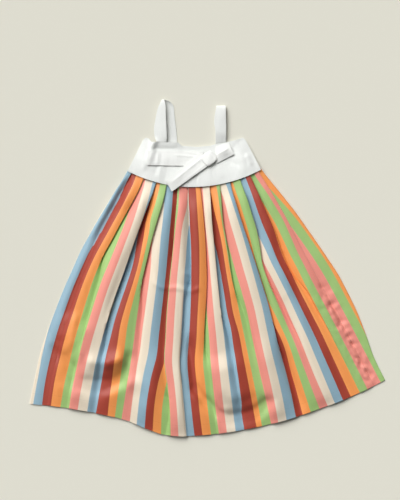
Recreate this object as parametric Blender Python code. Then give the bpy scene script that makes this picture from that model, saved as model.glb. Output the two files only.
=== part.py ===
# A child's hanbok skirt dress (chima with a strap bodice and a tied sash), laid flat on a table.
# X runs to the right of the view, Y towards the neck and Z up. Lengths below are in millimetres.
import math

import bmesh
import bpy
import numpy as np
from mathutils import Matrix, Vector

MM = 0.001

# Driving sizes of the cloth
STRIPE_WIDTH = 17.5
SKIRT_WALL = 1.0
FOLD_PITCH = 1.5
SEAM_GAP = 0.32
SEAM_TUCK = 3.0
BODICE_WALL = 1.4
STRAP_WALL = 1.4
SASH_WALL = 1.2

# The skirt is a fan about this point, and its rows are rings about it
FAN_X = -48.0
FAN_Y = 455.0
WAIST_AT = ((-26.0, 282.0), (-15.0, 286.0), (-3.0, 291.0), (10.0, 295.0), (20.0, 298.0), (34.0, 302.0))
HEM_AT = ((-26.0, 789.0), (-23.0, 788.0), (-20.0, 776.0), (-17.0, 768.0), (-14.0, 764.0),
          (-10.0, 764.0), (-8.0, 768.0), (-6.9, 772.0), (-5.0, 780.0), (-3.0, 788.0),
          (0.0, 790.0), (5.0, 788.0), (10.0, 786.0), (20.0, 784.0), (25.0, 786.0), (34.0, 791.0))
FRONT_DROPS = (0, 24, 50, 80, 112, 146, 182, 220, 262, 306, 352, 400, 448, 500)
FULL_DROP = 500.0
WAIST_RADIUS = 292.0        # mean ring radius of the waist seam
RING_ANGLE = 4.0            # each ring's sizes are taken at this angle, near the middle

# Side outlines of the laid skirt: angle in degrees at each ring radius
SIDE_RADII = (284, 306, 340, 398, 466, 552, 628, 678, 732, 790)
LEFT_SIDE = (-23.1, -23.6, -24.6, -25.65, -26.0, -25.7, -25.2, -24.7, -23.8, -22.9)
RIGHT_SIDE = (31.3, 31.5, 32.3, 33.3, 33.6, 33.7, 33.0, 32.2, 31.2, 30.8)

# Front pleats. Columns: side that lies on top, hidden cloth at the waist in stripes,
# ring radius where the pleat opens, then its angle at each of the crease radii.
CREASE_RADII = (292, 350, 410, 480, 550, 640, 788)
CREASES = (
    ("left", 1.25, 380, (-21.3, -24.0, -24.8, -25.1, -24.9, -23.9, -22.0)),
    ("left", 1.60, 480, (-15.6, -18.2, -19.45, -20.75, -20.2, -19.9, -18.42)),
    ("left", 2.10, 580, (-10.7, -12.6, -13.35, -14.25, -15.35, -15.2, -14.4)),
    ("left", 2.10, 516, (-6.3, -8.1, -8.85, -9.6, -9.75, -9.4, -9.4)),
    ("right", 2.45, 690, (-2.47, -2.55, -2.95, -3.15, -3.44, -3.44, -2.03)),
    ("right", 2.20, 480, (2.17, 2.0, 2.17, 2.05, 1.3, 0.85, 1.7)),
    ("left", 2.00, 560, (6.7, 6.5, 6.15, 5.45, 4.3, 2.95, 3.5)),
    ("left", 2.30, 550, (10.6, 9.1, 8.7, 8.15, 7.95, 7.6, 7.55)),
    ("left", 2.15, 470, (14.6, 13.1, 12.4, 11.75, 11.95, 12.1, 11.95)),
    ("left", 2.10, 700, (18.5, 18.05, 17.9, 17.85, 18.15, 17.2, 16.5)),
    ("left", 2.50, 516, (22.5, 21.95, 20.95, 19.3, 19.4, 20.0, 20.2)),
    ("left", 2.00, 495, (26.6, 26.2, 25.5, 24.75, 24.75, 25.3, 25.24)),
)
SEAM_LINE = (29.9, 30.3, 30.2, 29.75, 29.5, 29.3, 29.0)

# Soft folds of the front between its pleats. Columns: angle and ring radius of the upper end,
# angle and radius of the lower end, half width, and height (a trough is below zero).
SOFT_FOLDS = (
    (-24.0, 620, -17.5, 710, 15, -4.5),
    (-20.5, 600, -15.5, 672, 18, 4.6),
    (-10.6, 640, -15.2, 716, 17, -5.5),
    (-11.8, 310, -12.2, 470, 14, -2.2),
    (1.6, 600, 3.4, 722, 12, -4.5),
    (5.6, 600, 7.8, 716, 22, 5.5),
    (9.6, 738, 10.4, 792, 24, -4.5),
    (17.8, 650, 17.8, 770, 12, -4.0),
    (24.0, 480, 24.2, 650, 13, -3.2),
    (27.0, 520, 27.6, 700, 21, 3.0),
    (-7.5, 345, -6.0, 560, 22, 2.0),
    (14.8, 370, 15.2, 620, 25, 2.6),
)
# Height of the front panel's loft: share of the way from the waist to the hem, height
LOFT = ((0.0, 0.0), (0.02, 0.4), (0.06, 1.6), (0.15, 4.2), (0.3, 6.0), (0.45, 7.0), (0.6, 8.0), (0.74, 8.6),
        (0.84, 7.8), (0.91, 5.8), (0.96, 3.0), (1.0, 0.0))
WAIST_SPARE = 1.5           # extra height under the front panel near the waist
WAIST_SPARE_DROP = 200.0

# How the pleats cover their neighbours and open below
FULL_COVER = 0.88           # largest share of a face that a fold covers
SHARED_COVER = 0.42         # the same where two folds meet on one face
FACE_SPARE = 2.5
OPEN_FADE = 0.55            # how fast an opened fold flattens, ring by ring
OPEN_RISE = 0.5
OPEN_SLOPE = 9.0
OPEN_SHARE = 0.35
FACE_EASE = 160.0
FACE_SWELL = 0.04           # roundness of a face, as a share of its width
SWELL_FROM = 120.0
SWELL_FADE = (330.0, 170.0)
SIDE_INSET = 3.5            # flat cloth starts this far inside the left side's turn
SIDE_REACH = 3.4

# Back pleats: how many, the cloth hidden in each, the drop where they open, and the places of
# the first and last along the back, in steps from pleat to pleat
BACK_PLEATS = 10
BACK_HIDDEN = 13.0
BACK_OPEN_DROP = 200.0
BACK_FIRST = 0.75
BACK_SPARE = 0.4
BACK_RISE_FADE = 0.9
BACK_FADE = 60.0
WRAP_DROP = 240.0           # the wrap lies one layer lower at the waist and level from here down

# Bodice outline, from the peak at the left armhole to the peak at the right one (x, y)
BODICE_TOP = ((-127.0, 258.0), (-122.0, 261.5), (-116.0, 260.0), (-110.0, 252.5), (-58.0, 252.0),
              (-50.0, 245.0), (-20.0, 243.0), (6.0, 245.0), (20.0, 250.0), (38.0, 252.5),
              (52.0, 255.0), (66.0, 259.5), (72.0, 261.5), (77.0, 257.0))
BODICE_ANGLES = (-22.9, 31.1)
BODICE_COLUMNS = 30
BODICE_ROWS = 7
BODICE_EDGE = 3.2           # height of the front at its upper edge
BODICE_EDGE_LOFT = 1.2
# Soft ridges from the upper edge: height, place across, half width, share down where each fades
BODICE_RIDGES = ((5.0, 0.105, 0.035, 0.45), (3.0, 0.90, 0.04, 0.5))
BODICE_HOLLOW = (-1.6, 0.80, 0.05)
PLEAT_REACH = 2.2           # degrees of the waist whose pleats carry a place on the bodice
WAIST_LOWEST = 8.0

# Sash pieces, each by its corners (x, y): upper left, upper right, lower left, lower right
SASH_BAND = ((-118.0, 235.0), (-8.0, 234.0), (-119.0, 206.0), (-8.0, 204.0))
SASH_TAIL = ((-82.0, 175.0), (-12.0, 233.5), (-70.0, 153.0), (5.0, 207.0))
SASH_LOOP = ((17.0, 243.5), (43.6, 251.5), (19.5, 209.0), (54.0, 227.0))
LOWER_LAYER = 0.3           # sash layers over the bodice, in walls with their gaps
TAIL_LAYER = 1.8
KNOT_LAYER = 3.1
KNOT_MIDDLE = (4.0, 219.5)
KNOT_HALF = (11.0, 14.5)
KNOT_RISE = 3.6

# Straps: rows of a ribbon (left x, right x, y, height of left edge, height of right edge).
# The first and last rows are seated on the bodice's upper edges.
LEFT_STRAP = ((-101.0, -81.0, 253.0, 5.5, 7.5), (-104.5, -80.5, 264.0, 5.5, 9.2),
              (-105.5, -81.0, 280.0, 5.5, 9.8), (-102.5, -82.0, 300.0, 6.0, 9.8),
              (-98.5, -82.5, 318.0, 7.0, 9.6), (-93.5, -83.5, 330.0, 7.5, 8.8),
              (-89.5, -84.5, 336.8, 6.2, 6.4), (-88.0, -74.0, 333.5, 3.4, 3.2),
              (-86.5, -67.0, 324.0, 0.75, 0.75), (-85.0, -64.5, 300.0, 0.75, 0.75),
              (-84.0, -61.0, 272.0, 0.75, 0.75), (-83.0, -60.0, 253.0, 0.75, 0.75))
RIGHT_STRAP = ((17.0, 38.0, 253.6, 5.5, 6.0), (17.5, 38.0, 270.0, 7.8, 8.0),
               (14.5, 38.0, 290.0, 8.0, 8.4), (15.5, 37.5, 306.0, 8.0, 8.4),
               (18.0, 37.5, 319.0, 7.0, 7.2), (19.0, 37.5, 325.0, 4.4, 4.4),
               (19.0, 37.5, 321.0, 1.4, 1.4), (18.0, 38.0, 312.0, 0.75, 0.75),
               (17.0, 38.5, 284.0, 0.75, 0.75), (17.0, 39.0, 253.6, 0.75, 0.75))
STRAP_COLUMNS = (0.0, 0.33, 0.67, 1.0)

COLOURS = {
    "skirt_front": (0.80, 0.42, 0.22), "skirt_back": (0.62, 0.52, 0.42),
    "bodice_front": (0.80, 0.81, 0.78), "bodice_back": (0.70, 0.71, 0.68),
    "strap_left": (0.78, 0.79, 0.76), "strap_right": (0.78, 0.79, 0.76),
    "sash_band": (0.84, 0.85, 0.82), "sash_tail": (0.86, 0.87, 0.84),
    "sash_loop": (0.86, 0.87, 0.84), "sash_knot": (0.88, 0.89, 0.86),
}


def clear_scene():
    for item in list(bpy.data.objects):
        bpy.data.objects.remove(item, do_unlink=True)


def cloth_material(name):
    material = bpy.data.materials.new(name + "_cloth")
    material.use_nodes = True
    shader = material.node_tree.nodes["Principled BSDF"]
    shader.inputs["Base Color"].default_value = (*COLOURS[name], 1.0)
    shader.inputs["Roughness"].default_value = 0.6
    shader.inputs["Metallic"].default_value = 0.0
    return material


def smooth(value):
    value = min(max(value, 0.0), 1.0)
    return value * value * (3.0 - 2.0 * value)


def table_value(where, keys, values):
    """Value of a table at a place, along straight lines between its columns."""
    if where <= keys[0]:
        return values[0]
    for index in range(1, len(keys)):
        if where <= keys[index]:
            part = (where - keys[index - 1]) / (keys[index] - keys[index - 1])
            return values[index - 1] + (values[index] - values[index - 1]) * part
    return values[-1]


def fan_point(angle, radius, height):
    turn = math.radians(angle)
    return (FAN_X + radius * math.sin(turn), FAN_Y - radius * math.cos(turn), height)


def pairs_value(where, pairs):
    return table_value(where, [pair[0] for pair in pairs], [pair[1] for pair in pairs])


def ring_radius(angle, drop):
    """Radius of a skirt ring, between the waist seam and the hem, at this angle."""
    waist = pairs_value(angle, WAIST_AT) - SEAM_TUCK
    return waist + (pairs_value(angle, HEM_AT) - waist) * drop / FULL_DROP


def grid_body(name, outer, inner):
    """Closed wall from two grids of points with the same rows and columns."""
    mesh = bmesh.new()
    rows, columns = len(outer), len(outer[0])
    upper = [[mesh.verts.new([MM * value for value in point]) for point in row] for row in outer]
    lower = [[mesh.verts.new([MM * value for value in point]) for point in row] for row in inner]
    for r in range(rows - 1):
        for c in range(columns - 1):
            mesh.faces.new((upper[r][c], upper[r + 1][c], upper[r + 1][c + 1], upper[r][c + 1]))
            mesh.faces.new((lower[r][c], lower[r][c + 1], lower[r + 1][c + 1], lower[r + 1][c]))
    for r in range(rows - 1):
        mesh.faces.new((upper[r][0], lower[r][0], lower[r + 1][0], upper[r + 1][0]))
        mesh.faces.new((upper[r][-1], upper[r + 1][-1], lower[r + 1][-1], lower[r][-1]))
    for c in range(columns - 1):
        mesh.faces.new((upper[0][c], upper[0][c + 1], lower[0][c + 1], lower[0][c]))
        mesh.faces.new((upper[-1][c], lower[-1][c], lower[-1][c + 1], upper[-1][c + 1]))
    bmesh.ops.triangulate(mesh, faces=mesh.faces[:])
    bmesh.ops.recalc_face_normals(mesh, faces=mesh.faces[:])
    data = bpy.data.meshes.new(name)
    mesh.to_mesh(data)
    mesh.free()
    data.materials.append(cloth_material(name))
    data.shade_smooth()
    data.set_sharp_from_angle(angle=math.radians(40))
    body = bpy.data.objects.new(name, data)
    bpy.context.scene.collection.objects.link(body)
    return body


def section_offsets(line, half):
    """Outer and inner points of a wall along a section line of (across, height) pairs."""
    points = np.array(line, dtype=float)
    steps = np.diff(points, axis=0)
    steps /= np.maximum(np.linalg.norm(steps, axis=1), 1e-6)[:, None]
    normals = np.stack([-steps[:, 1], steps[:, 0]], axis=1)
    first, last = normals[:1], normals[-1:]
    mean = np.vstack([first, normals[:-1] + normals[1:], last])
    mean /= np.maximum(np.linalg.norm(mean, axis=1), 1e-6)[:, None]
    along = np.vstack([first, normals[1:], last])
    stretch = 1.0 / np.clip(np.sum(mean * along, axis=1), 0.72, 1.0)
    shift = mean * (half * stretch)[:, None]
    return points + shift, points - shift


def surface_offsets(grid, half):
    """Outer and inner points of a wall about a grid of middle points."""
    points = np.array(grid, dtype=float)
    sideways = np.gradient(points, axis=1)
    down = np.gradient(points, axis=0)
    normal = np.cross(down, sideways)
    normal /= np.maximum(np.linalg.norm(normal, axis=2), 1e-9)[:, :, None]
    return points + normal * half, points - normal * half


def side_angles(radius):
    return table_value(radius, SIDE_RADII, LEFT_SIDE), table_value(radius, SIDE_RADII, RIGHT_SIDE)


def across(angle, radius):
    return math.radians(angle) * radius


def fold_state(drop, open_drop, depth, drops):
    """Depth of a fold at a ring, and how many rings lie below the one where it opens."""
    opening = min(range(len(drops)), key=lambda index: abs(drops[index] - open_drop))
    ring = drops.index(drop)
    if ring < opening:
        left_over = 1.0 - drop / (drops[opening] + 1.0)
        return max(depth * left_over, 4.0), 0
    return 0.0, ring - opening


def back_ridge(drop):
    """Height that the folded cloth of the back reaches above its flat outer face."""
    if drop <= BACK_OPEN_DROP + 20:
        return 2 * FOLD_PITCH
    return 2 * FOLD_PITCH * math.exp(-(drop - BACK_OPEN_DROP - 20) / BACK_FADE)


def front_floor(drop):
    """Lowest middle height of the front wall, clear of the back beneath it."""
    return SKIRT_WALL * 1.5 + back_ridge(drop) + 0.5 + WAIST_SPARE * (1.0 - smooth(drop / WAIST_SPARE_DROP))


def soft_height(angle, radius):
    """Loft of the front panel and its soft folds at a place on the fan."""
    left, right = side_angles(radius)
    place = (angle - (left + right) / 2) / ((right - left) / 2)
    edge = max(0.0, 1.0 - place ** 4)
    down = min(max((radius - WAIST_RADIUS) / FULL_DROP, 0.0), 1.0)
    height = pairs_value(down, LOFT)
    for top_angle, top_radius, low_angle, low_radius, half_width, rise in SOFT_FOLDS:
        middle = (radius - top_radius) / (low_radius - top_radius)
        if middle < -0.25 or middle > 1.25:
            continue
        line = top_angle + (low_angle - top_angle) * middle
        off = across(angle - line, radius) / half_width
        height += rise * math.exp(-off * off) * smooth((middle + 0.25) / 0.4) * smooth((1.25 - middle) / 0.4)
    return max(height, 0.0) * edge if down < 1.0 else 0.0


def crease_points(edge, sign, depth, rings_open, top, drop_height, width, face_height):
    """Points of one pleat from the face that lies on top to the face that comes out below."""
    pitch = FOLD_PITCH
    if depth > 0:
        nose = min(0.6, depth * 0.15)
        turn = edge - sign * depth
        turn_height = face_height(turn)
        return [(edge - sign * nose, top), (edge, top - pitch / 2), (edge - sign * nose, top - pitch),
                (turn + sign * nose, turn_height - pitch), (turn, turn_height - 1.5 * pitch),
                (turn + sign * nose, turn_height - 2 * pitch), (edge + sign, top - 2 * pitch)]
    if rings_open == 0:
        steps = (0.0, 0.15, 0.35, 0.52, 0.7, 0.87, 1.0)
        line = [(edge + sign * 0.05 * index, top - drop_height * step) for index, step in enumerate(steps)]
        line[-1] = (edge + sign, top - drop_height)
        return line
    steps = (0.0, 0.12, 0.3, 0.5, 0.7, 0.88, 1.0)
    return [(edge + sign * width * step, top - drop_height * smooth(step)) for step in steps]


def left_curl(side, height):
    """Half turn of the front round the left side, from the table up to the front panel."""
    low = SKIRT_WALL / 2
    reach = min(3.0, (height - low) / 2 + 0.6)
    middle = (height + low) / 2
    line = []
    for index in range(5):
        turn = math.radians(-90.0 - 45.0 * index)
        line.append((side + low + reach + reach * math.cos(turn),
                     middle + (height - low) / 2 * math.sin(turn)))
    return line, reach


def front_section(drop):
    """Middle line of the front wall at one ring, from the left side to the right seam."""
    radius = ring_radius(RING_ANGLE, drop)
    side = across(side_angles(radius)[0], radius)
    seam = across(table_value(radius, CREASE_RADII, SEAM_LINE), radius) - SEAM_GAP / 2
    floor = front_floor(drop)
    edges = [across(table_value(radius, CREASE_RADII, crease[3]), radius) for crease in CREASES]
    bounds = [side + SIDE_INSET] + edges + [seam]
    states = []
    for index, (kind, hidden, open_radius, line) in enumerate(CREASES):
        depth, rings_open = fold_state(drop, open_radius - WAIST_RADIUS, hidden * STRIPE_WIDTH / 2,
                                       FRONT_DROPS)
        face = index if kind == "left" else index + 1
        width = bounds[face + 1] - bounds[face]
        shared = 0 < face < len(CREASES) and CREASES[face - 1][0] == "right" and CREASES[face][0] == "left"
        depth = min(depth, width * (SHARED_COVER if shared else FULL_COVER), width - FACE_SPARE)
        cover = depth / width
        rise = 2 * FOLD_PITCH * math.exp(-OPEN_FADE * rings_open) + OPEN_RISE * (rings_open > 0)
        top = floor + rise + 2 * FOLD_PITCH * cover
        slope = min(OPEN_SLOPE, width * OPEN_SHARE)
        states.append((1 if kind == "left" else -1, depth, rings_open, top, rise, slope))
    heights = []
    for face in range(len(CREASES) + 1):
        start = max(floor + 0.3, states[0][3] - 1.2)
        if face > 0:
            sign, depth, rings_open, top, rise, width = states[face - 1]
            start = top - rise if sign > 0 else top
        end = floor + 2 * FOLD_PITCH * math.exp(-drop / FACE_EASE)
        if face < len(CREASES):
            sign, depth, rings_open, top, rise, width = states[face]
            end = top if sign > 0 else top - rise
        heights.append((bounds[face], bounds[face + 1], start, end))

    def face_height(face):
        left, right, start, end = heights[face]
        fade = 1.0 - smooth((drop - SWELL_FADE[0]) / SWELL_FADE[1])
        swell = FACE_SWELL * (right - left) * smooth(drop / SWELL_FROM) * fade
        return lambda place: (start + (end - start) * (place - left) / (right - left)
                              + swell * math.sin(math.pi * min(max((place - left) / (right - left), 0), 1)))

    curl, reach = left_curl(side, heights[0][2])
    line = list(curl)
    for face in range(len(CREASES) + 1):
        start = line[-1][0]
        after = None
        if face < len(CREASES):
            sign, depth, rings_open, top, rise, width = states[face]
            cover_face = face if sign > 0 else face + 1
            after = crease_points(edges[face], sign, depth, rings_open, top, rise, width,
                                  face_height(cover_face))
            after = after if sign > 0 else after[::-1]
        end = after[0][0] if after else seam
        surface = face_height(face)
        for part in (0.27, 0.52, 0.77):
            place = start + (end - start) * part
            line.append((place, surface(place)))
        line.extend(after if after else [(seam, surface(seam))])
    return radius, line


def back_pleat(edge, depth, rings_open):
    """One pleat of the back, flat on the table outside and folded inwards, left to right."""
    low = SKIRT_WALL / 2
    pitch = FOLD_PITCH
    if depth > 0:
        turn = edge - depth
        return [(edge - 0.6, low), (edge, low + pitch / 2), (edge - 0.6, low + pitch),
                (turn + 0.6, low + pitch), (turn, low + 1.5 * pitch), (turn + 0.6, low + 2 * pitch),
                (edge + 0.3, low + 2 * pitch), (edge + 3.2, low)]
    rise = 2 * pitch * math.exp(-BACK_RISE_FADE * rings_open) if rings_open < 4 else 0.0
    places = (-0.6, -0.1, 0.1, 0.3, 0.6, 1.4, 3.0, 5.0)
    rises = (0.0, 0.3, 0.55, 0.8, 1.0, 0.9, 0.4, 0.0)
    return [(edge + place, low + rise * part) for place, part in zip(places, rises)]


def back_section(drop):
    """Middle line of the back wall at one ring: seam, round the right side, then flat to the left."""
    radius = ring_radius(RING_ANGLE, drop)
    low = SKIRT_WALL / 2
    right = across(side_angles(radius)[1], radius)
    front_line = front_section(drop)[1]
    seam = front_line[-1][0] + SEAM_GAP
    top = front_line[-1][1] - FOLD_PITCH * (1.0 - smooth(drop / WRAP_DROP))
    side_top = front_floor(drop) + 0.3
    reach = min(SIDE_REACH, (side_top - low) / 2 + 0.6, (right - seam) * OPEN_SHARE)
    side_start = right - low - reach
    line = [(seam + (side_start - seam) * part, top + (side_top - top) * part) for part in (0.0, 0.4, 0.75)]
    for index in range(5):
        turn = math.radians(90.0 - 45.0 * index)
        line.append((side_start + reach * math.cos(turn),
                     (side_top + low) / 2 + (side_top - low) / 2 * math.sin(turn)))
    end = front_line[0][0] + SEAM_GAP
    flat = []
    for index in range(BACK_PLEATS):
        part = (index + BACK_FIRST) / (BACK_PLEATS + BACK_SPARE)
        edge = end + (side_start - end) * part
        depth, rings_open = fold_state(drop, BACK_OPEN_DROP, BACK_HIDDEN, FRONT_DROPS)
        pleat = back_pleat(edge, depth, rings_open)
        flat.append(((flat[-1][0] if flat else end) * 0.5 + pleat[0][0] * 0.5, low))
        flat.extend(pleat)
    return radius, line + flat[::-1] + [(end, low)]


def section_points(section, drop, lofted):
    """Outer and inner points of a skirt ring in the part's frame."""
    radius, line = section
    outer, inner = section_offsets(line, SKIRT_WALL / 2)
    rings = []
    for side in (outer, inner):
        ring = []
        for (place, height), (middle, middle_height) in zip(side, line):
            angle = math.degrees(place / radius)
            lift = soft_height(math.degrees(middle / radius), radius) if lofted(middle_height) else 0.0
            ring.append(fan_point(angle, ring_radius(angle, drop), height + lift))
        rings.append(ring)
    return rings


def skirt_panel(name, section, lofted):
    outer, inner = [], []
    for drop in FRONT_DROPS:
        outer_ring, inner_ring = section_points(section(drop), drop, lofted(drop))
        outer.append(outer_ring)
        inner.append(inner_ring)
    return grid_body(name, outer, inner)


def make_skirt():
    skirt_panel("skirt_front", front_section, lambda drop: lambda height: True)
    skirt_panel("skirt_back", back_section,
                lambda drop: lambda height: height > back_ridge(drop) + SKIRT_WALL + 0.2)


def pleat_tops():
    """Angle and upper height of the pleats under the bodice's lower edge."""
    tops = []
    for drop in (FRONT_DROPS[0], FRONT_DROPS[1]):
        radius, line = front_section(drop)
        tops.extend((math.degrees(place / radius), height + SKIRT_WALL / 2) for place, height in line)
    return tops


def bodice_top(part):
    """Point on the bodice's upper outline, by its share of the width."""
    left, right = BODICE_TOP[0][0], BODICE_TOP[-1][0]
    where = left + (right - left) * part
    return where, table_value(where, [point[0] for point in BODICE_TOP], [point[1] for point in BODICE_TOP])


def bodice_parts():
    """Shares of the width for the bodice's columns, closer where its outline steps."""
    marks = [index / BODICE_COLUMNS for index in range(BODICE_COLUMNS + 1)]
    left, right = BODICE_TOP[0][0], BODICE_TOP[-1][0]
    marks += [(point[0] - left) / (right - left) for point in BODICE_TOP[1:-1]]
    kept = []
    for mark in sorted(marks):
        if not kept or mark - kept[-1] > 0.012:
            kept.append(mark)
    return kept


def bodice_height(part, down, waist_height):
    """Middle height of the front bodice wall."""
    upper = BODICE_EDGE + BODICE_EDGE_LOFT * smooth(min(part, 1.0 - part) / 0.2)
    height = upper + (waist_height - upper) * smooth(down) ** 0.9
    for rise, place, half, fade in BODICE_RIDGES:
        height += rise * math.exp(-((part - place) / half) ** 2) * (1.0 - smooth((down - fade) / 0.5))
    depth, place, half = BODICE_HOLLOW
    return height + depth * math.exp(-((part - place) / half) ** 2) * math.sin(math.pi * min(down, 1.0))


def bodice_point(part, down, tops, waist_offset=0.0):
    angle = BODICE_ANGLES[0] + (BODICE_ANGLES[1] - BODICE_ANGLES[0]) * part
    top_x, top_y = bodice_top(part)
    low_x, low_y = fan_point(angle, pairs_value(angle, WAIST_AT) + waist_offset, 0.0)[:2]
    near = [height for at, height in tops if abs(at - angle) < PLEAT_REACH] or [WAIST_LOWEST]
    waist_height = max(near) + SEAM_GAP + BODICE_WALL / 2
    height = bodice_height(part, down, waist_height)
    return (top_x + (low_x - top_x) * down, top_y + (low_y - top_y) * down, height)


def make_bodice():
    tops = pleat_tops()
    rows = [row / (BODICE_ROWS - 1) for row in range(BODICE_ROWS)]
    front = [[bodice_point(part, down, tops) for part in bodice_parts()] for down in rows]
    outer, inner = surface_offsets(front, BODICE_WALL / 2)
    grid_body("bodice_front", outer.tolist(), inner.tolist())
    back = []
    for down in (0.0, 0.5, 1.0):
        row = []
        for part in bodice_parts()[::2] + [1.0]:
            x, y = bodice_point(part, down, tops, -SEAM_TUCK - SEAM_GAP)[:2]
            row.append((x, y, BODICE_WALL / 2))
        back.append(row)
    outer, inner = surface_offsets(back, BODICE_WALL / 2)
    grid_body("bodice_back", outer.tolist(), inner.tolist())


def strap_end(x, y, height, front):
    """Seat of a strap end, a seam's gap above the front or the back bodice edge."""
    left, right = BODICE_TOP[0][0], BODICE_TOP[-1][0]
    part = (x - left) / (right - left)
    seat = bodice_top(part)[1] + 2 * SEAM_GAP
    return (x, seat, bodice_height(part, 0.0, height) if front else BODICE_WALL / 2)


def make_straps():
    for name, rows in (("strap_left", LEFT_STRAP), ("strap_right", RIGHT_STRAP)):
        grid = []
        for left, right, y, left_height, right_height in rows:
            grid.append([(left + (right - left) * part, y, left_height + (right_height - left_height) * part)
                         for part in STRAP_COLUMNS])
        grid[0] = [strap_end(*point, True) for point in grid[0]]
        grid[-1] = [strap_end(*point, False) for point in grid[-1]]
        outer, inner = surface_offsets(grid, STRAP_WALL / 2)
        grid_body(name, outer.tolist(), inner.tolist())


def bodice_share(x, y):
    """Shares across and down the front bodice under a point."""
    low, high = 0.0, 1.0
    for halving in range(24):
        part = (low + high) / 2
        top_x, top_y = bodice_top(part)
        angle = BODICE_ANGLES[0] + (BODICE_ANGLES[1] - BODICE_ANGLES[0]) * part
        low_x, low_y = fan_point(angle, pairs_value(angle, WAIST_AT), 0.0)[:2]
        down = (top_y - y) / (top_y - low_y)
        if top_x + (low_x - top_x) * down < x:
            low = part
        else:
            high = part
    return part, min(max(down, 0.0), 1.0)


def on_bodice(x, y, tops, layer):
    """Point of a sash piece that lies on the bodice, in the given layer above it."""
    around = [bodice_share(x + side, y + along) for side in (-5.0, 0.0, 5.0) for along in (-3.5, 3.5)]
    height = max(bodice_point(part, down, tops)[2] for part, down in around)
    above = BODICE_WALL / 2 + SASH_WALL / 2 + SEAM_GAP + layer * (SASH_WALL + SEAM_GAP)
    return (x, y, height + above)


def sash_piece(name, corners, across_count, down_count, tops, layer, swell):
    (ulx, uly), (urx, ury), (llx, lly), (lrx, lry) = corners
    grid = []
    for row in range(down_count):
        down = row / (down_count - 1)
        line = []
        for column in range(across_count):
            part = column / (across_count - 1)
            x = (ulx + (urx - ulx) * part) * (1 - down) + (llx + (lrx - llx) * part) * down
            y = (uly + (ury - uly) * part) * (1 - down) + (lly + (lry - lly) * part) * down
            point = on_bodice(x, y, tops, layer)
            line.append((x, y, point[2] + swell * math.sin(math.pi * down) * math.sin(math.pi * part) ** 0.5))
        grid.append(line)
    outer, inner = surface_offsets(grid, SASH_WALL / 2)
    grid_body(name, outer.tolist(), inner.tolist())


def make_knot(tops):
    """Wrap of the knot, a rounded turn of cloth over the ends of the band and the loop."""
    grid = []
    for row in range(7):
        down = -1.0 + row / 3.0
        line = []
        for column in range(7):
            side = -1.0 + column / 3.0
            x = KNOT_MIDDLE[0] + KNOT_HALF[0] * side * math.sqrt(1.0 - 0.45 * down * down)
            y = KNOT_MIDDLE[1] - KNOT_HALF[1] * down * math.sqrt(1.0 - 0.35 * side * side)
            height = on_bodice(x, y, tops, KNOT_LAYER)[2]
            line.append((x, y, height + KNOT_RISE * (1.0 - side * side) ** 0.5 * (1.0 - down ** 4)))
        grid.append(line)
    outer, inner = surface_offsets(grid, SASH_WALL / 2)
    grid_body("sash_knot", outer.tolist(), inner.tolist())


def make_sash():
    tops = pleat_tops()
    sash_piece("sash_band", SASH_BAND, 14, 5, tops, LOWER_LAYER, 0.8)
    sash_piece("sash_loop", SASH_LOOP, 6, 5, tops, LOWER_LAYER, 2.6)
    sash_piece("sash_tail", SASH_TAIL, 12, 5, tops, TAIL_LAYER, 1.0)
    make_knot(tops)


def seat_on_origin():
    """Move every mesh so that the origin is the middle of the whole garment's underside."""
    bodies = [item for item in bpy.data.objects if item.type == "MESH"]
    points = np.array([vertex.co for body in bodies for vertex in body.data.vertices])
    low, high = points.min(axis=0), points.max(axis=0)
    middle = Vector(((low[0] + high[0]) / 2, (low[1] + high[1]) / 2, low[2]))
    for body in bodies:
        body.data.transform(Matrix.Translation(-middle))
    return middle


def main():
    clear_scene()
    make_skirt()
    make_bodice()
    make_straps()
    make_sash()
    return seat_on_origin()


main()
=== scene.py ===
import math

import bpy
import numpy as np
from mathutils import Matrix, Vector


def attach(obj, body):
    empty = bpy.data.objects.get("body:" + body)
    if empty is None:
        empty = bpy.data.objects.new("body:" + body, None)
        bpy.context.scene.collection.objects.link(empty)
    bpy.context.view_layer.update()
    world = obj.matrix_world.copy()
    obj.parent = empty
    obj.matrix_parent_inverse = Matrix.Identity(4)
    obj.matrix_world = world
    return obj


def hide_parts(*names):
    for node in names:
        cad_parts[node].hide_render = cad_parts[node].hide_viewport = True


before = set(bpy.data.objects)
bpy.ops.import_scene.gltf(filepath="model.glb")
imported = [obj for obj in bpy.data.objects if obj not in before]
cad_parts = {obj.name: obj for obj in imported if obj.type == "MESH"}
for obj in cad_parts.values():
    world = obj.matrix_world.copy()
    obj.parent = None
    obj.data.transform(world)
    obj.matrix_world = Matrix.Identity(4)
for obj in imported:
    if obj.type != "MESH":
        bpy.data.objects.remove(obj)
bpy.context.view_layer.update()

mm = 0.001

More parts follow.
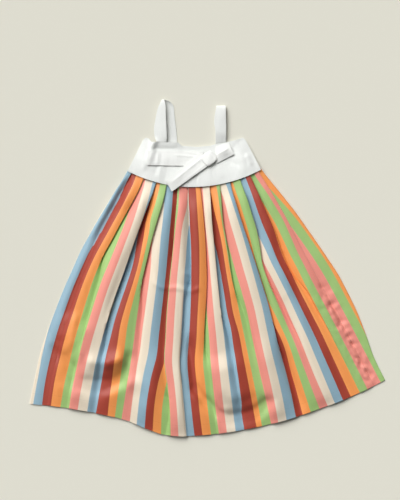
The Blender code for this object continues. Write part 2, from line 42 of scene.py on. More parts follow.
# The skirt's own layout, in millimetres: a fan about one point, cut by rings from waist to hem
skirt = {
    "fanX": -48.0, "fanY": 455.0,
    "shiftX": 0.703, "shiftY": 1.313,       # from the layout's zero to the middle of the garment
    "stripe": 17.5, "wall": 1.0, "pitch": 1.5, "seamGap": 0.32, "seamTuck": 3.0,
    "length": 500.0, "waistSpare": 1.5, "waistRadius": 292.0, "hemFade": 0.055, "foldFloor": 2.0,
    "ringAngle": 4.0,                       # the rings' radii are those at this angle
    "leastFold": 4.0,                       # the smallest depth of a fold that is still closed
    "sideInset": 3.5, "outOfWaist": 60.0,   # the pleats reach their height this far down
    "loft": ((0, 0), (0.06, 2.4), (0.15, 4.6), (0.3, 6), (0.45, 7), (0.6, 8.5), (0.74, 9.5),
             (0.84, 8.6), (0.91, 6.6), (0.96, 3.4), (1, 0)),
    "rings": (0, 24, 50, 80, 112, 146, 182, 220, 262, 306, 352, 400, 448, 500),
    "rowsPerRing": 12, "faceSteps": 9, "lastSteps": 18, "clothThickness": 0.5,
    "waistAt": ((-26, 282), (-15, 286), (-3, 291), (10, 295), (20, 298),
                (34, 302)),
    "hemAt": ((-26, 789), (-23, 788), (-20, 776), (-17, 768), (-14, 764),
              (-10, 764), (-8, 768), (-6.9, 772), (-5, 780), (-3, 788),
              (0, 790), (5, 788), (10, 786), (20, 784), (25, 786), (34, 791)),
    "sideRadii": (284, 306, 340, 398, 466, 552, 628, 678, 732, 790),
    "leftSide": (-23.1, -23.6, -24.6, -25.65, -26, -25.7, -25.2, -24.7, -23.8, -22.9),
    "rightSide": (31.3, 31.5, 32.3, 33.3, 33.6, 33.7, 33, 32.2, 31.2, 30.8),
    "creaseRadii": (292, 350, 410, 480, 550, 640, 788),
    "seamLine": (29.9, 30.3, 30.2, 29.75, 29.5, 29.3, 29),
    # stripes from the left side seam, at the left side and at the right seam
    "leftCloth": (1.80, 1.50, 1.20, 1.12, 1.12, 1.28, 1.20, 1.05, 0.74, 0.70),
    "seamCloth": (41.7, 41.6, 41.5, 41.48, 41.45, 41.8) + (41.85,) * 4,
    "mirror": 41.85, "backHidden": 13, "backPleats": 10, "backOpens": 200,
    "seamHidden": 2.45, "seamOpens": 268.0,     # stripes of the back hidden beside the right seam
}

# Fan radii of the pleats' tables below
pleatRadii = (292, 320, 350, 380, 410, 480, 550, 640, 720, 788)

# Front pleats from left to right: which side lies on top, cloth hidden at the waist in stripes, the
# radius where it opens, how deep its valley is, and at each radius its line in degrees, the stripe
# at its edge and the stripe that comes out from under it. middle is the stripe halfway across the
# face before the pleat, where the stripes are spaced unevenly.
pleats = (
    {"top": "left", "hidden": 0.60, "opens": 320, "deep": -0.5,
     "line": (-21.2, -22, -22.8, -23.3, -23.7, -23.8, -23.6, -23, -22, -21),
     "edge": (1.95, 2.15, 1.8, 1.72, 1.75, 2.15, 2.2, 2.18, 2.24, 2.07),
     "under": (2.45, 2.15, 1.8, 1.72, 1.75, 2.15, 2.2, 2.18, 2.24, 2.07)},
    {"top": "left", "hidden": 1.60, "opens": 480, "deep": 0.8,
     "line": (-15.8, -16.7, -17.7, -18.6, -19.3, -20.7, -20.5, -19.9, -19.2, -18.42),
     "edge": (4,) * 10,
     "under": (5.85, 5.55, 5.2, 4.75, 4.45) + (4,) * 5},
    {"top": "left", "hidden": 2.10, "opens": 580, "deep": 2.1,
     "line": (-10.65, -11.5, -12.3, -12.9, -13.45, -14.3, -15, -15.3, -14.9, -14.4),
     "edge": (7.42, 7.29, 7.05) + (7,) * 7,
     "under": (9.52, 9.36, 8.5, 8.15, 8, 7.3) + (7,) * 4},
    {"top": "left", "hidden": 2.10, "opens": 516, "deep": 1,
     "line": (-6.45, -6.85, -7.74, -8.48, -8.96, -9.6, -9.7, -9.4, -9.4, -9.4),
     "edge": (10.85, 10.85, 10.9, 10.95) + (11,) * 6,
     "under": (13.1, 13.15, 12.6, 12.26, 12.03, 11.25) + (11,) * 4,
     "middle": (10.19, 10.1, 10.05, 9.9, 9.1, 8.56, 8.9, 9.2, 9.1, 9)},
    {"top": "right", "hidden": 2.45, "opens": 736, "deep": 1,
     "line": (-2, -2.1, -2.4, -2.55, -2.65, -3.2, -3.4, -3.3, -2.1, -1.8),
     "edge": (16.9, 16.87, 16.8, 16.95) + (17,) * 6,
     "under": (14.5, 14.5, 14.5, 14.55, 14.55, 14.5, 14.6, 14.9, 16.9, 17)},
    {"top": "right", "hidden": 2.20, "opens": 480, "deep": 1.1,
     "line": (2.15, 2.1, 2.05, 2.05, 2.15, 2, 1.5, 0.75, 1.2, 1.65),
     "edge": (20.1, 20.05) + (20,) * 8,
     "under": (17.95, 18.1, 18.35, 19.3, 19.5) + (20,) * 5},
    {"top": "left", "hidden": 2.00, "opens": 590, "deep": 0.8,
     "line": (6.7, 6.7, 6.6, 6.5, 6.3, 5.7, 4.6, 3.5, 3.7, 4),
     "edge": (21.55, 21.6, 21.66, 21.7, 21.7, 21.9) + (22,) * 4,
     "under": (23.75, 23.85, 23.9, 23.9, 23.75, 23.45, 22.8, 22, 22, 22)},
    {"top": "left", "hidden": 2.30, "opens": 550, "deep": 1.9,
     "line": (10.4, 9.9, 9.3, 8.9, 8.7, 8.2, 7.9, 7.7, 7.6, 7.6),
     "edge": (24.9, 24.9, 24.9, 24.95) + (25,) * 6,
     "under": (27.25, 26.85, 26.55, 26.25, 26.03, 25.55) + (25,) * 4},
    {"top": "left", "hidden": 2.15, "opens": 516, "deep": 0.9,
     "line": (14.4, 13.7, 12.9, 12.3, 12.2, 11.6, 11.6, 11.6, 11.6, 11.5),
     "edge": (28.42, 28.42, 28.3, 28.2, 28.28) + (28,) * 5,
     "under": (30.4, 29.7, 29.4, 29.2, 29, 28.45) + (28,) * 4,
     "middle": (27.85, 27.6, 27.4, 26.9, 26.75) + (26.5,) * 5},
    {"top": "left", "hidden": 2.10, "opens": 640, "deep": 1.2,
     "line": (18.5, 18.05, 17.95, 17.9, 17.95, 18, 17.9, 17.3, 17, 16.5),
     "edge": (31.55, 31.48, 31.4, 31.35, 31.4, 31.6, 31.8, 32, 32, 32),
     "under": (33.8, 33.65, 33.6, 33.6, 33.7, 34, 33.9, 32, 32, 32)},
    {"top": "left", "hidden": 2.50, "opens": 516, "deep": 1.1,
     "line": (22.4, 22.1, 21.95, 21.5, 21.2, 19.35, 19.6, 20.05, 20.1, 20.2),
     "edge": (34.85, 34.9, 34.95) + (35,) * 7,
     "under": (37.4, 37.3, 37.35, 37.28, 37.2, 35.6) + (35,) * 4},
    {"top": "left", "hidden": 2.00, "opens": 495, "deep": 1.1,
     "line": (26.5, 26.3, 26.1, 25.85, 25.7, 24.8, 25, 25.3, 25.3, 25.24),
     "edge": (38.55, 38.7, 38.84, 38.92) + (39,) * 6,
     "under": (40.55, 40.33, 40.05, 39.76, 39.6, 39.1) + (39,) * 4},
)
faceValleys = {3: 0.25, 8: 0.25}      # share of a face that stays low beside its valley

# Large soft folds: fan angle and radius of both ends, half width, height
softFolds = (
    (-11.6, 330, -12.3, 420, 8, -4.5),
    (-12.4, 425, -13.3, 505, 7, -3.5),
    (9.9, 322, 9.4, 400, 8, -4.5),
    (9.2, 415, 9, 525, 6, -3.5),
    (-2.7, 300, -2.9, 430, 7, -2.6),
    (1.5, 350, 1.2, 520, 6, -3.4),
    (13.9, 310, 12.9, 385, 5, -2.4),
    (18.4, 305, 18.3, 560, 5, -2.6),
    (22.5, 330, 21.6, 600, 8, -2.8),
    (24.4, 440, 24.2, 560, 9, -5.5),
    (24.2, 560, 24.2, 675, 9, -4.5),
    (-14.2, 450, -15.7, 585, 6, -2.4),
    (-23.4, 668, -20.8, 686, 9, -10),
    (-20.8, 686, -18.6, 708, 10, -13),
    (-18.6, 708, -16.6, 742, 10, -12),
    (-23.4, 604, -22.2, 646, 12, 9),
    (-21.2, 600, -20.2, 660, 12, 10),
    (-19.2, 616, -18.2, 680, 12, 8.5),
    (-16.4, 684, -13.2, 684, 15, 9),
    (-13.2, 684, -10.7, 662, 14, 10.5),
    (-16.2, 734, -12.8, 732, 16, -13.5),
    (-12.8, 732, -10, 708, 15, -13.5),
    (-10, 704, -9.7, 655, 10, -9.5),
    (-19.5, 744, -16.6, 768, 12, 3),
    (-12, 744, -7.4, 700, 15, 5),
    (1.3, 604, 1.9, 690, 8, -10),
    (1.9, 690, 3.5, 722, 8, -11),
    (3.5, 722, 5.9, 754, 9, -12),
    (6.2, 764, 10.4, 766, 12, -15),
    (10.4, 766, 13.6, 740, 11, -12),
    (7.4, 648, 8.6, 730, 25, 10),
    (4.4, 640, 6.4, 712, 13, 5),
    (17.8, 650, 17.8, 780, 9, -11),
    (14.4, 640, 14.2, 770, 16, 6),
    (20.8, 640, 21.4, 790, 18, 5),
    (-4.6, 640, -5.6, 760, 14, 4.5),
    (-0.4, 640, -0.8, 770, 12, 3),
    (24.8, 690, 25, 780, 8, -4.5),
    (27, 520, 27.6, 700, 17, 4),
    (30.7, 735, 30.6, 785, 9, -3),
    (-7.5, 330, -6, 560, 22, 2.6),
    (14.8, 360, 15.2, 620, 24, 3),
    (-18.5, 400, -17.5, 560, 20, 3),
    (4.2, 380, 3.2, 560, 12, 2.2),
    (-23.4, 686, -22.6, 712, 8, -2.6),
)


def smooth(value):
    value = np.clip(value, 0.0, 1.0)
    return value * value * (3.0 - 2.0 * value)


def pairsValue(angle, pairs):
    return np.interp(angle, [pair[0] for pair in pairs], [pair[1] for pair in pairs])


def fanPlace(angle, radius):
    # Place of a fan angle and radius, about the middle of the garment
    turn = np.radians(angle)
    return (skirt["fanX"] - skirt["shiftX"] + radius * np.sin(turn),
            skirt["fanY"] - skirt["shiftY"] - radius * np.cos(turn))


def ringRadius(angle, drop):
    waist = pairsValue(angle, skirt["waistAt"]) - skirt["seamTuck"]
    return waist + (pairsValue(angle, skirt["hemAt"]) - waist) * drop / skirt["length"]


def lineAngle(drop, radii, line):
    # Angle of a line that is given at fan radii, where it crosses this ring
    angle = line[len(line) // 2]
    for step in range(6):
        angle = np.interp(ringRadius(angle, drop), radii, line)
    return angle


def sideAngles(radius):
    return (np.interp(radius, skirt["sideRadii"], skirt["leftSide"]),
            np.interp(radius, skirt["sideRadii"], skirt["rightSide"]))


def across(angle, radius):
    return np.radians(angle) * radius


def foldState(drop, openDrop, depth):
    # Depth of a fold at this ring, and the number of rings since it opened
    rings = skirt["rings"]
    opening = min(range(len(rings)), key=lambda index: abs(rings[index] - openDrop))
    ring = rings.index(drop)
    if ring < opening:
        return max(depth * (1.0 - drop / (rings[opening] + 1.0)), skirt["leastFold"]), 0
    return 0.0, ring - opening


def backRidge(drop):
    spare = drop - skirt["backOpens"] - 20
    return 2 * skirt["pitch"] * np.exp(-np.maximum(spare, 0.0) / 60.0)


def frontFloor(drop):
    return (skirt["wall"] * 1.5 + backRidge(drop) + 0.5
            + skirt["waistSpare"] * (1.0 - smooth(drop / 200.0)))


def creaseSum(x, y, creases, place):
    # Small ridges and troughs, each along a line between two ends that place() turns into x and y
    height = 0.0
    for a, b, c, d, halfWidth, rise in creases:
        startX, startY = place(a, b)
        endX, endY = place(c, d)
        length = math.hypot(endX - startX, endY - startY)
        alongX, alongY = (endX - startX) / length, (endY - startY) / length
        along = ((x - startX) * alongX + (y - startY) * alongY) / length
        off = np.abs((y - startY) * alongX - (x - startX) * alongY) / halfWidth
        fade = smooth((along + 0.3) / 0.5) * smooth((1.3 - along) / 0.5)
        height = height + rise * np.exp(-off ** 1.7) * fade
    return height


def softFloor(height, spare):
    # Height kept above zero, with a soft bend in place of a sharp one
    return np.where(height < spare, spare * np.exp(height / spare - 1.0), height)


def softHeight(angle, radius):
    # Loft of the laid skirt and its large folds, over the pleats
    x, y = fanPlace(angle, radius)
    left, right = sideAngles(radius)
    place = (angle - (left + right) / 2) / ((right - left) / 2)
    edge = np.maximum(0.0, 1.0 - place ** 4)
    down = np.clip((radius - skirt["waistRadius"]) / skirt["length"], 0.0, 1.0)
    height = pairsValue(down, skirt["loft"])
    folds = creaseSum(x, y, softFolds, fanPlace) * smooth((1.0 - down) / skirt["hemFade"])
    return softFloor(height + folds, skirt["foldFloor"]) * edge


def halfTurn(middleX, middleY, reach, half, start, direction, steps):
    # Points of a half turn of cloth, from the start angle in degrees
    line = []
    for index in range(steps):
        turn = math.radians(start + direction * 180.0 * index / (steps - 1))
        line.append((middleX + reach * math.cos(turn), middleY + half * math.sin(turn)))
    return line


# How far the pleats stand up: more height at each fold, how fast it fades below the opening, the
# width of the opened fold's slope, and the roundness of the faces. A fold may take up the own share
# of its face, or the shared one where the face covers a fold at both of its sides.
relief = {"rise": 4.4, "fade": 0.28, "slope": 9.0, "widen": 2.0, "swell": 0.12, "bend": 0.6,
          "own": 0.88, "shared": 0.42, "spare": 2.5}


def pleatLine(edge, sign, depth, ringsOpen, top, start, width, faceHeight):
    # Thirteen points: fold edge, hidden layer, inner fold, hidden layer, cloth that comes out
    pitch = skirt["pitch"]
    if depth > 0:
        reach = min(0.7, depth * 0.15)
        turn = edge - sign * depth
        low = faceHeight(turn)
        outerTurn = halfTurn(0.0, top - pitch / 2, reach, pitch / 2, 90.0, -1.0, 5)
        innerTurn = halfTurn(0.0, low - 1.5 * pitch, reach, pitch / 2, 90.0, 1.0, 5)
        line = [(edge + sign * (x - reach), z) for x, z in outerTurn]
        middle = (edge + turn) / 2
        line.append((middle, (top - pitch + low - pitch) / 2))
        line.extend((turn + sign * (x + reach), z) for x, z in innerTurn)
        line.append((middle, (start + low - 2 * pitch) / 2))
        line.append((edge + sign * 1.2, start))
        return line
    steps = [index / 12.0 for index in range(13)]
    if ringsOpen == 0:
        return [(edge + sign * 1.2 * step ** 2, top + (start - top) * smooth(step)) for step in steps]
    return [(edge + sign * width * step, top + (start - top) * smooth(step)) for step in steps]


pleatShares = (0.0, 0.01, 0.02, 0.03, 0.04, 0.25, 0.47, 0.485, 0.5, 0.515, 0.53, 0.75, 1.0)


def frontSection(drop):
    # Points (across, height, stripe) of the front from the left side to the right seam
    radius = ringRadius(skirt["ringAngle"], drop)
    side = across(lineAngle(drop, skirt["sideRadii"], skirt["leftSide"]), radius)
    seam = across(lineAngle(drop, skirt["creaseRadii"], skirt["seamLine"]), radius) - skirt["seamGap"] / 2
    floor = frontFloor(drop)
    pitch = skirt["pitch"]
    edges = [across(lineAngle(drop, pleatRadii, pleat["line"]), radius) for pleat in pleats]
    bounds = [side + skirt["sideInset"]] + edges + [seam]
    ramp = smooth(drop / skirt["outOfWaist"])
    states = []
    for index, pleat in enumerate(pleats):
        depth, ringsOpen = foldState(drop, pleat["opens"] - skirt["waistRadius"],
                                     pleat["hidden"] * skirt["stripe"] / 2)
        face = index if pleat["top"] == "left" else index + 1
        width = bounds[face + 1] - bounds[face]
        tops = [pleat["top"] for pleat in pleats[max(face - 1, 0):face + 1]]
        shared = tops == ["right", "left"]      # this face lies over a fold at both of its sides
        depth = min(depth, width * relief["shared" if shared else "own"], width - relief["spare"])
        rise = (2 * pitch + relief["rise"] * pleat["deep"] * ramp) * math.exp(-relief["fade"] * ringsOpen)
        top = floor + rise + pitch * depth / width
        states.append({"sign": 1 if pleat["top"] == "left" else -1, "depth": depth, "ringsOpen": ringsOpen,
                       "top": top, "start": floor + 0.3 + pitch * depth / width,
                       "width": min(relief["slope"] + relief["widen"] * ringsOpen,
                                    width * relief["shared"])})
    heights = []
    for face in range(len(pleats) + 1):
        start = max(floor + 0.3, states[0]["top"] - 1.2)
        if face > 0:
            state = states[face - 1]
            start = state["start"] if state["sign"] > 0 else state["top"]
        end = floor + 2 * pitch * math.exp(-drop / 160.0)
        if face < len(pleats):
            state = states[face]
            end = state["top"] if state["sign"] > 0 else state["start"]
        heights.append((bounds[face], bounds[face + 1], start, end))

    def surfaceOf(face):
        left, right, start, end = heights[face]
        swell = relief["swell"] * (right - left) * ramp * (1.0 - 0.7 * smooth((drop - 250.0) / 250.0))

        def surface(place):
            share = min(max((place - left) / (right - left), 0.0), 1.0)
            valley = faceValleys.get(face, 0.0) * ramp
            climb = max(share - valley, 0.0) / (1.0 - valley)
            rising = climb ** relief["bend"] if end >= start else 1.0 - (1.0 - share) ** relief["bend"]
            return start + (end - start) * rising + swell * math.sin(math.pi * share)

        return surface

    low = skirt["wall"] / 2
    height = heights[0][2]
    reach = min(3.0, (height - low) / 2 + 0.6)
    curl = halfTurn(side + low + reach, (height + low) / 2, reach, (height - low) / 2, -90.0, -1.0, 9)
    cloth = np.interp(radius, pleatRadii, skirt["leftCloth"])
    seamCloth = np.interp(radius, pleatRadii, skirt["seamCloth"])
    curlCloth = reach * math.pi / skirt["stripe"]
    line = [(x, z, cloth - curlCloth * (1.0 - index / 8.0)) for index, (x, z) in enumerate(curl)]
    # Stripe at the left and right of each pleat's line
    sides = []
    for pleat, state in zip(pleats, states):
        values = [np.interp(radius, pleatRadii, pleat[key]) for key in ("edge", "under")]
        sides.append(values if state["sign"] > 0 else values[::-1])
    for face in range(len(pleats) + 1):
        start, startCloth = line[-1][0], line[-1][2]
        endCloth = sides[face][0] if face < len(pleats) else seamCloth
        after = []
        if face < len(pleats):
            state = states[face]
            surface = surfaceOf(face if state["sign"] > 0 else face + 1)
            after = pleatLine(edges[face], state["sign"], state["depth"], state["ringsOpen"], state["top"],
                              state["start"], state["width"], surface)
            after = after if state["sign"] > 0 else after[::-1]
            leftCloth, rightCloth = sides[face]
            if state["depth"] == 0.0 and state["ringsOpen"] > 0:
                # The opened fold's slope takes its share of the face that it lies in
                share = state["width"] / (bounds[face + 2] - edges[face] if state["sign"] > 0
                                          else edges[face] - bounds[face])
                if state["sign"] > 0:
                    farCloth = sides[face + 1][0] if face + 1 < len(pleats) else seamCloth
                    rightCloth += (farCloth - rightCloth) * share
                else:
                    leftCloth -= (leftCloth - startCloth) * share
                    endCloth = leftCloth
            order = pleatShares if state["sign"] > 0 else [1.0 - share for share in pleatShares[::-1]]
            after = [(x, z, leftCloth + (rightCloth - leftCloth) * share)
                     for (x, z), share in zip(after, order)]
        surface = surfaceOf(face)
        end = after[0][0] if after else seam
        bulge = 0.0
        if face < len(pleats) and "middle" in pleats[face]:
            middle = np.interp(radius, pleatRadii, pleats[face]["middle"])
            bulge = middle - (startCloth + endCloth) / 2
        steps = skirt["faceSteps"] if face < len(pleats) else skirt["lastSteps"]
        for step in range(1, steps + 1):
            share = step / (steps + 1)
            place = start + (end - start) * share
            stripe = startCloth + (endCloth - startCloth) * share + 4.0 * bulge * share * (1.0 - share)
            line.append((place, surface(place), stripe))
        line.extend(after if after else [(seam, surface(seam), seamCloth)])
    return radius, line


def backPleatLine(edge, depth, ringsOpen):
    low = skirt["wall"] / 2
    pitch = skirt["pitch"]
    if depth > 0:
        turn = edge - depth
        outerTurn = halfTurn(edge - 0.6, low + pitch / 2, 0.6, pitch / 2, -90.0, 1.0, 5)
        innerTurn = halfTurn(turn + 0.6, low + 1.5 * pitch, 0.6, pitch / 2, -90.0, -1.0, 5)
        out = [(edge + 0.3, low + 2 * pitch), (edge + 1.8, low + pitch), (edge + 3.2, low)]
        return outerTurn + innerTurn + out
    rise = 2 * pitch * math.exp(-0.9 * ringsOpen) if ringsOpen < 4 else 0.0
    places = (-0.6, -0.3, -0.1, 0.0, 0.1, 0.2, 0.3, 0.45, 0.6, 1.0, 1.8, 3.4, 5.0)
    rises = (0.0, 0.15, 0.3, 0.42, 0.55, 0.68, 0.8, 0.92, 1.0, 0.98, 0.8, 0.3, 0.0)
    return [(edge + place, low + rise * part) for place, part in zip(places, rises)]


def backSection(drop):
    # Points (across, height, stripe) of the back from the seam, round the right side, to the left
    radius = ringRadius(skirt["ringAngle"], drop)
    low = skirt["wall"] / 2
    right = across(lineAngle(drop, skirt["sideRadii"], skirt["rightSide"]), radius)
    frontLine = frontSection(drop)[1]
    seam = frontLine[-1][0] + skirt["seamGap"]
    top = frontLine[-1][1] - skirt["pitch"] * (1.0 - smooth(drop / 240.0))
    sideTop = frontFloor(drop) + 0.3
    reach = min(3.4, (sideTop - low) / 2 + 0.6, (right - seam) * 0.35)
    sideStart = right - low - reach
    hidden = skirt["seamHidden"] * (1.0 - min(drop / skirt["seamOpens"], 1.0)) ** 1.6
    cloth = skirt["mirror"] + hidden
    line = []
    for share in (0.0, 0.15, 0.3, 0.45, 0.6, 0.75, 0.9):
        place = seam + (sideStart - seam) * share
        line.append((place, top + (sideTop - top) * share, cloth + (place - seam) / skirt["stripe"]))
    cloth = line[-1][2] + (sideStart - line[-1][0]) / skirt["stripe"]
    turn = halfTurn(sideStart, (sideTop + low) / 2, reach, (sideTop - low) / 2, 90.0, -1.0, 9)
    turnCloth = reach * math.pi / skirt["stripe"]
    line.extend((x, z, cloth + turnCloth * index / 8.0) for index, (x, z) in enumerate(turn))
    end = frontLine[0][0] + skirt["seamGap"]
    depth, ringsOpen = foldState(drop, skirt["backOpens"], skirt["backHidden"])
    flat, startCloth = [], 0.0
    for index in range(skirt["backPleats"]):
        edge = end + (sideStart - end) * (index + 0.75) / (skirt["backPleats"] + 0.4)
        pleat = backPleatLine(edge, depth, ringsOpen)
        before = flat[-1][0] if flat else end
        for share in (0.2, 0.4, 0.6, 0.8):
            place = before + (pleat[0][0] - before) * share
            flat.append((place, low, startCloth + (place - before) / skirt["stripe"]))
        startCloth += (pleat[0][0] - before) / skirt["stripe"]
        spare = 2.0 * depth / skirt["stripe"] + 3.8 / skirt["stripe"]
        flat.extend((x, z, startCloth + spare * share) for (x, z), share in zip(pleat, pleatShares))
        startCloth += spare
    flatEnd = (end, low, 0.0)
    cloth = line[-1][2] + (line[-1][0] - flat[-1][0]) / skirt["stripe"]
    total = startCloth
    line.extend((x, z, cloth + total - at) for x, z, at in flat[::-1] + [flatEnd])
    return radius, [(x, z, 2 * skirt["mirror"] - at) for x, z, at in line]


def curveThrough(rows, perStep):
    # Smooth curve through rows of values, row by row
    rows = np.array(rows, dtype=float)
    padded = np.concatenate([2 * rows[:1] - rows[1:2], rows, 2 * rows[-1:] - rows[-2:-1]])
    out = []
    for index in range(len(rows) - 1):
        a, b, c, d = padded[index:index + 4]
        for step in range(perStep):
            t = step / perStep
            out.append(0.5 * (2 * b + (c - a) * t + (2 * a - 5 * b + 4 * c - d) * t * t
                              + (3 * b - a - 3 * c + d) * t ** 3))
    out.append(rows[-1])
    return np.array(out)


def vary(place, seed):
    # Smooth uneven value between -1 and 1 along one direction, the same each run
    cell = np.floor(place)
    part = smooth(place - cell)

    def mark(at):
        return np.modf(np.abs(np.sin(at * 12.9898 + seed * 78.233) * 43758.5453))[0] * 2.0 - 1.0

    return mark(cell) * (1.0 - part) + mark(cell + 1.0) * part


def varyFlat(x, y, seed):
    # Smooth uneven value over a surface
    cell = np.floor(y)
    part = smooth(y - cell)
    return vary(x, seed + 3.7 * cell) * (1.0 - part) + vary(x, seed + 3.7 * (cell + 1.0)) * part


# Small wrinkles of the striped cloth
skirtDetail = {
    "seamPucker": 3.2, "seamReach": 15.0, "seamWave": 21.0, "seamFrom": 540.0, "seamTo": 792.0,
    "longWave": 0.45, "fineWave": 0.16,
    "pressed": ((497, -7.5, 4.5, 1.9), (464, -0.6, 2.6, 1.3), (484, -0.6, 2.6, -0.9)),
}

# Smaller creases over the front: both ends (angle, radius), half width and height
smallCreases = (
    (-2.5, 690, -2.3, 735, 3.2, -2.2),
    (-3.2, 708, -1.9, 716, 2.6, -1.6),
    (-4.6, 706, -4.2, 722, 3, 1),
    (5, 738, 7.6, 741, 5, 1.4),
    (8, 735, 11.5, 728, 9, -1.6),
    (24.7, 455, 25.8, 462, 4, 1),
    (25, 420, 25.3, 470, 5, -0.9),
    (26.6, 575, 28.2, 622, 6, 1.2),
    (26.9, 600, 28.4, 606, 5, -1),
    (-24.9, 640, -22.5, 655, 7, -0.9),
    (-21, 300, -22, 350, 9, -5),
    (-22, 350, -23.4, 430, 9, -4),
    (-23.3, 305, -24.4, 370, 6, 4),
    (-24.4, 370, -25.2, 440, 6, 2.6),
    (-19, 300, -19.9, 360, 9, 2.4),
    (-20.3, 500, -19.7, 590, 9, 0.9),
    (-17, 590, -16, 650, 8, -0.8),
    (-13.8, 560, -13.2, 640, 9, 0.8),
    (-7.3, 486, -4.6, 496, 6, 0.8),
    (13.6, 460, 13.9, 620, 10, 0.7),
    (11.2, 520, 12, 545, 6, -1),
    (20.9, 552, 22.8, 540, 5, 0.8),
    (4.6, 560, 5.6, 640, 9, 1),
    (-1, 520, -0.2, 600, 8, -0.6),
)


def wrinkle(angle, radius):
    # Height of the small wrinkles of the front at its places
    x, y = fanPlace(angle, radius)
    height = creaseSum(x, y, smallCreases, fanPlace)
    for ring, lowAngle, highAngle, rise in skirtDetail["pressed"]:
        inside = smooth((angle - lowAngle) / 1.5) * smooth((highAngle - angle) / 1.5)
        height += rise * inside * np.exp(-((radius - ring - 3.0 * np.sin(angle)) / 4.5) ** 2)
    seamAngle = np.interp(radius, skirt["creaseRadii"], skirt["seamLine"])
    off = across(angle - seamAngle, radius)
    along = smooth((radius - skirtDetail["seamFrom"]) / 40.0)
    along = along * smooth((skirtDetail["seamTo"] - radius) / 20.0)
    reach = skirtDetail["seamReach"] * (1.0 + 0.35 * vary(radius / 31.0, 5.0))
    beat = radius / skirtDetail["seamWave"] + 0.45 * vary(radius / 37.0, 3.0) + 0.012 * off
    crumple = varyFlat(off / 7.0, radius / 9.0, 7.0)
    crumple = crumple + 0.8 * varyFlat((off + radius) / 10.0, (radius - off) / 9.0, 8.0)
    pucker = (0.15 * np.cos(2.0 * np.pi * beat) + crumple) * np.exp(-(np.abs(off) / reach) ** 1.6)
    height += along * skirtDetail["seamPucker"] * pucker
    height -= along * 1.3 * np.exp(-(off / 3.0) ** 2)
    height += skirtDetail["longWave"] * varyFlat(across(angle, radius) / 22.0, radius / 90.0, 1.0)
    height += skirtDetail["fineWave"] * varyFlat(across(angle, radius) / 7.0, radius / 36.0, 2.0)
    return height


def shellObject(name, points, clothMap, thickness):
    # Thin cloth from a grid of middle points, with the cloth's own map of across and along
    rows, columns = points.shape[:2]
    corner = (np.arange(rows - 1)[:, None] * columns + np.arange(columns - 1)[None, :]).ravel()
    faces = np.stack([corner, corner + columns, corner + columns + 1, corner + 1], axis=1)
    data = bpy.data.meshes.new(name)
    data.from_pydata((points.reshape(-1, 3) * mm).tolist(), [], faces.tolist())
    layer = data.uv_layers.new(name="cloth")
    layer.data.foreach_set("uv", clothMap.reshape(-1, 2)[faces.ravel()].astype(np.float32).ravel())
    shell = bpy.data.objects.new(name, data)
    bpy.context.scene.collection.objects.link(shell)
    bpy.ops.object.select_all(action="DESELECT")
    shell.select_set(True)
    bpy.context.view_layer.objects.active = shell
    wall = shell.modifiers.new("cloth", "SOLIDIFY")
    wall.thickness = thickness * mm
    wall.offset = 0.0
    bpy.ops.object.modifier_apply(modifier=wall.name)
    bpy.ops.object.shade_smooth_by_angle(angle=math.radians(60))
    return shell


def skirtGrid(section, wholeLift):
    # Fine grid of a skirt panel from its ring sections
    rings = []
    for drop in skirt["rings"]:
        radius, line = section(drop)
        rings.append([(place / radius, height, stripe) for place, height, stripe in line])
    fine = curveThrough(rings, skirt["rowsPerRing"])
    drops = curveThrough([[drop] for drop in skirt["rings"]], skirt["rowsPerRing"])
    drops = np.clip(drops, 0.0, skirt["length"])
    angle, height, stripe = np.degrees(fine[..., 0]), fine[..., 1], fine[..., 2]
    radius = np.broadcast_to(ringRadius(skirt["ringAngle"], drops), angle.shape)
    raised = 1.0 if wholeLift else 1.0 * (height > backRidge(drops) + skirt["wall"] + 0.2)
    grounded = smooth((height - 0.8) / 1.2)
    lift = softHeight(angle, radius) + wrinkle(angle, radius) * grounded * smooth(drops / 30.0)
    x, y = fanPlace(angle, ringRadius(angle, drops))
    height = height + lift * raised
    if wholeLift:
        clear = backRidge(drops) + skirt["wall"] + 0.3      # the front stays above the back's pleats
        height = clear + softFloor(height - clear, 0.9)
    points = np.stack([x, y, np.maximum(height, 0.3)], axis=-1)
    clothMap = np.stack([stripe, np.broadcast_to(drops / skirt["stripe"], stripe.shape)], axis=-1)
    return points, clothMap


# White cotton bodice, in the layout's millimetres: outline of its upper edge and its waist angles
bodice = {
    "top": ((-127, 258), (-122, 261.5), (-116, 260), (-110, 252.5), (-58, 252),
            (-50, 245), (-20, 243), (6, 245), (20, 250), (38, 252.5),
            (52, 255), (66, 259.5), (72, 261.5), (77, 257)),
    "angles": (-22.9, 31.1), "wall": 1.4, "columns": 200, "rows": 56, "thickness": 1.1,
    "backThickness": 1.1, "width": 262.0, "depth": 84.0,
    # soft ridges beside the arm openings: height, share across, width, share down where they fade
    "leftRidge": (5.0, 0.105, 0.035, 0.45), "rightRidge": (3.0, 0.90, 0.04, 0.5),
}

# Creases of the bodice front: both ends in the layout's millimetres, half width and height
bodiceCreases = (
    (-112, 239, -62, 239, 4.5, -1),
    (-122, 250, -130, 216, 7, 1.2),
    (57, 246, 64, 206, 6, -1.3),
    (70, 250, 83, 220, 7, 1.4),
    (-18, 200, -21, 172, 2.2, -1),
    (-14, 198, -17, 174, 3, 0.7),
    (-100, 206, -104, 188, 4.5, -0.9),
    (-92, 204, -96, 184, 3.5, 0.6),
    (22, 200, 30, 182, 6, 0.8),
    (8, 196, 12, 176, 5, -0.6),
    (58, 240, 64, 212, 4, 0.9),
    (44, 214, 62, 206, 4, -0.8),
    (78, 226, 88, 208, 6, 1.3),
    (74, 232, 80, 206, 5, -1),
    (-136, 226, -124, 200, 6, 0.6),
    (-60, 200, -56, 178, 5, 0.5),
)


def layoutPlace(x, y):
    return x, y


